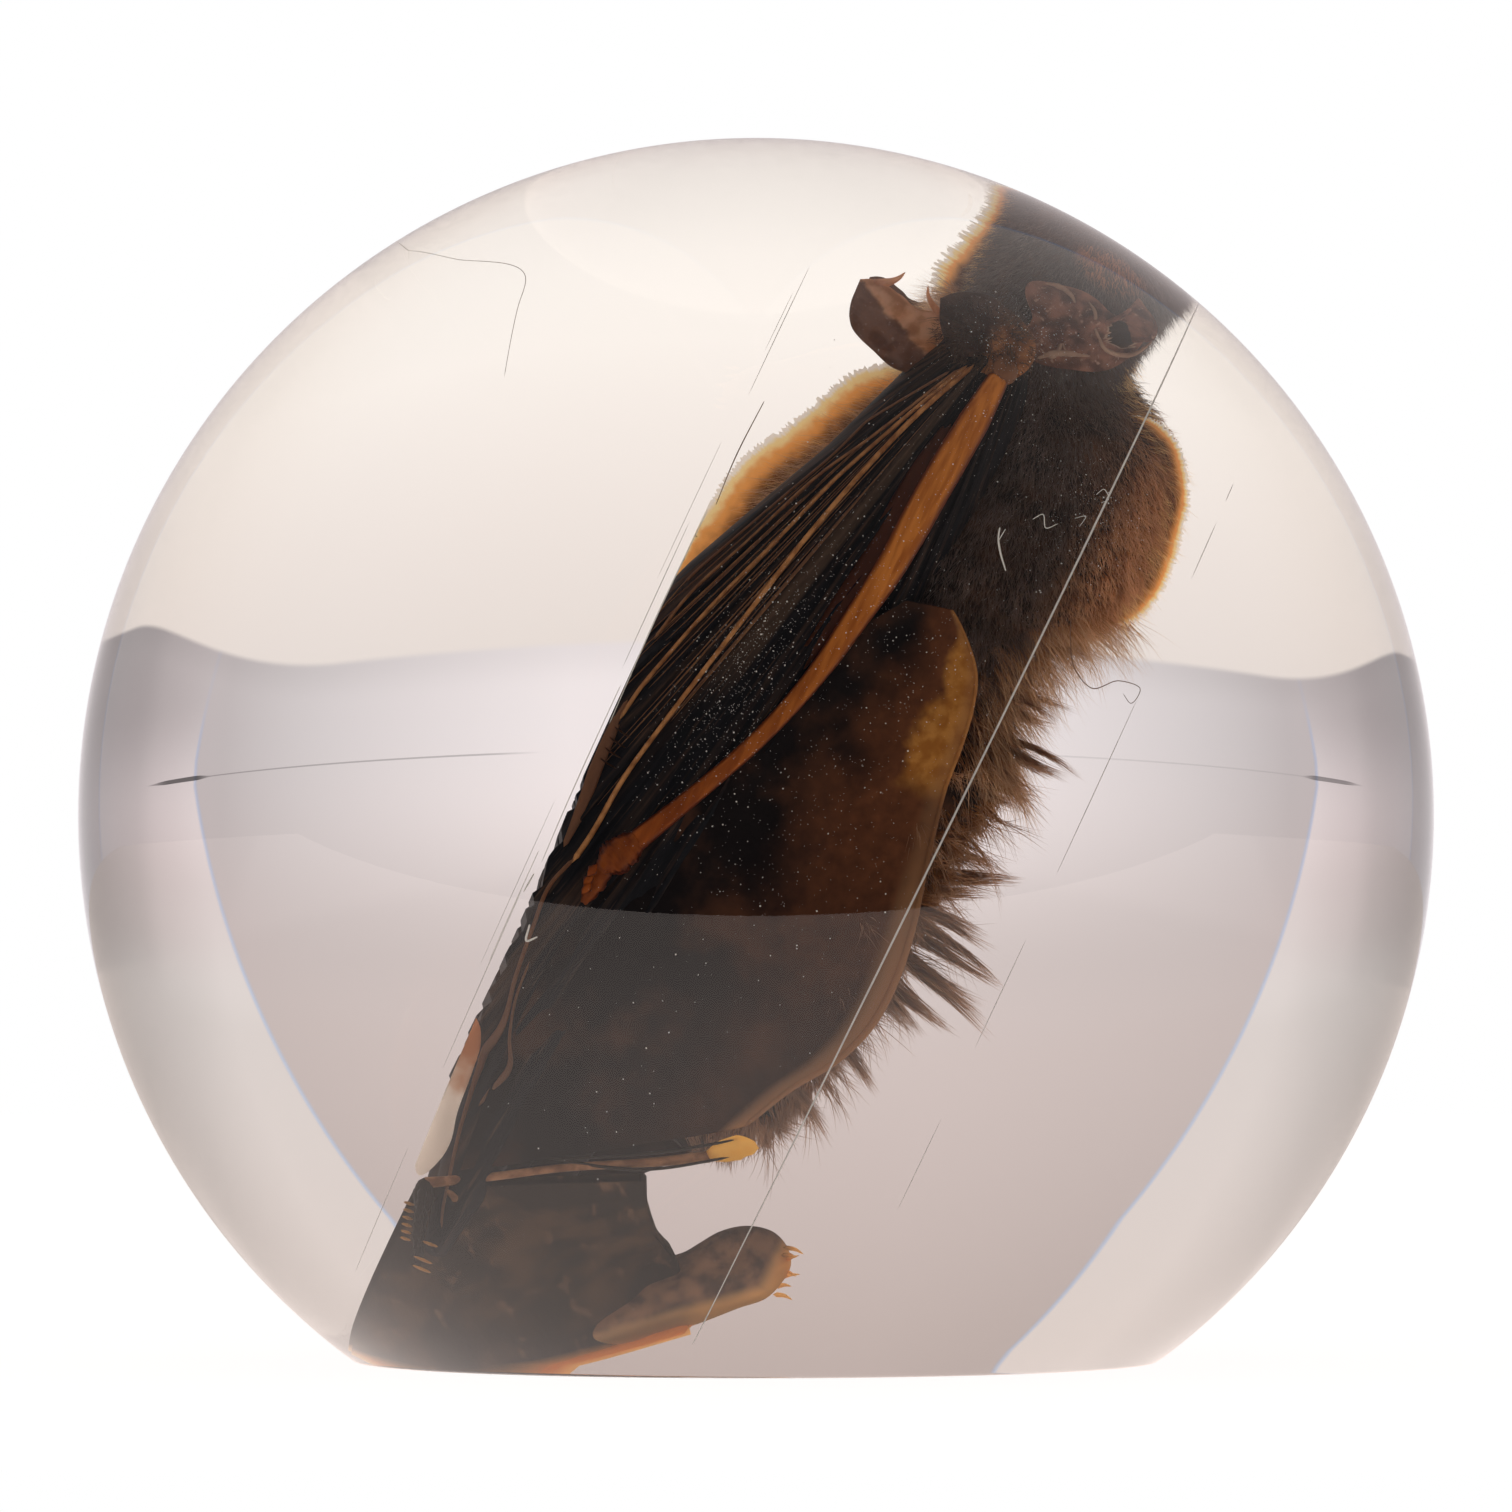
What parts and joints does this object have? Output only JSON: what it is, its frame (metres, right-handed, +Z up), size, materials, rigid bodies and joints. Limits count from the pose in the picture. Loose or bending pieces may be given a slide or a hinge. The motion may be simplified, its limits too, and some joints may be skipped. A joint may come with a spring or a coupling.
{
  "type": "bat in resin sphere",
  "caption": "Clear resin ball with a flat base and a small dried bat cast inside it, for a desk, shelf or cabinet.",
  "frame": {"origin": "middle of the flat base", "axes": "+Z up, -Y towards the viewer of the bat's near side, +X towards the bat's back"},
  "size_m": [0.09, 0.09, 0.0813],
  "materials": {
    "resin": "polished clear resin",
    "bat": "dry dark skin, bone and fur"
  },
  "bodies": {
    "root": {"resin_first_pour": "resin", "resin_second_pour": "resin", "bat": "bat"}
  },
  "joints": []
}
